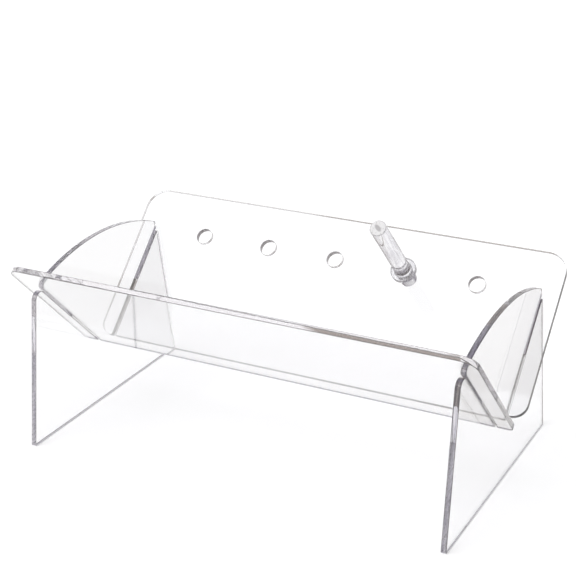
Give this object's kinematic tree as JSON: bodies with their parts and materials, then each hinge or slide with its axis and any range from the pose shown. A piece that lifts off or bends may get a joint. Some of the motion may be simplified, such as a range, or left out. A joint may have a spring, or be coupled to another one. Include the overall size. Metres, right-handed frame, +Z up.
{
  "type": "book display case",
  "caption": "Clear slot-together display case: two upright side panels hold two leaning panels that form a V trough for books, with a movable round stop peg.",
  "frame": {"origin": "on the floor, below the middle of the case's length and depth", "axes": "+X along the case to the right, +Y to the back, +Z up"},
  "size_m": [0.43, 0.2472, 0.207],
  "materials": {
    "left_side_acrylic": "polished",
    "right_side_acrylic": "polished",
    "front_acrylic": "polished",
    "back_acrylic": "polished",
    "peg_rod_acrylic": "polished",
    "peg_collar_acrylic": "polished"
  },
  "bodies": {
    "side_panels": {"left_side_panel": "left_side_acrylic", "right_side_panel": "right_side_acrylic"},
    "front_panel": {"front_panel": "front_acrylic"},
    "back_panel": {"back_panel": "back_acrylic"},
    "peg": {"peg_rod": "peg_rod_acrylic", "peg_collar": "peg_collar_acrylic"}
  },
  "joints": [
    {"name": "front_panel_lift", "type": "slide", "parent": "side_panels", "child": "front_panel", "axis": [0, -0.7071, 0.7071], "range_m": [0, 0.06]},
    {"name": "back_panel_lift", "type": "slide", "parent": "side_panels", "child": "back_panel", "axis": [0, 0.7071, 0.7071], "range_m": [0, 0.057]},
    {"name": "peg_lift", "type": "slide", "parent": "back_panel", "child": "peg", "axis": [0, -0.7071, 0.7071], "range_m": [0, 0.0195]}
  ]
}
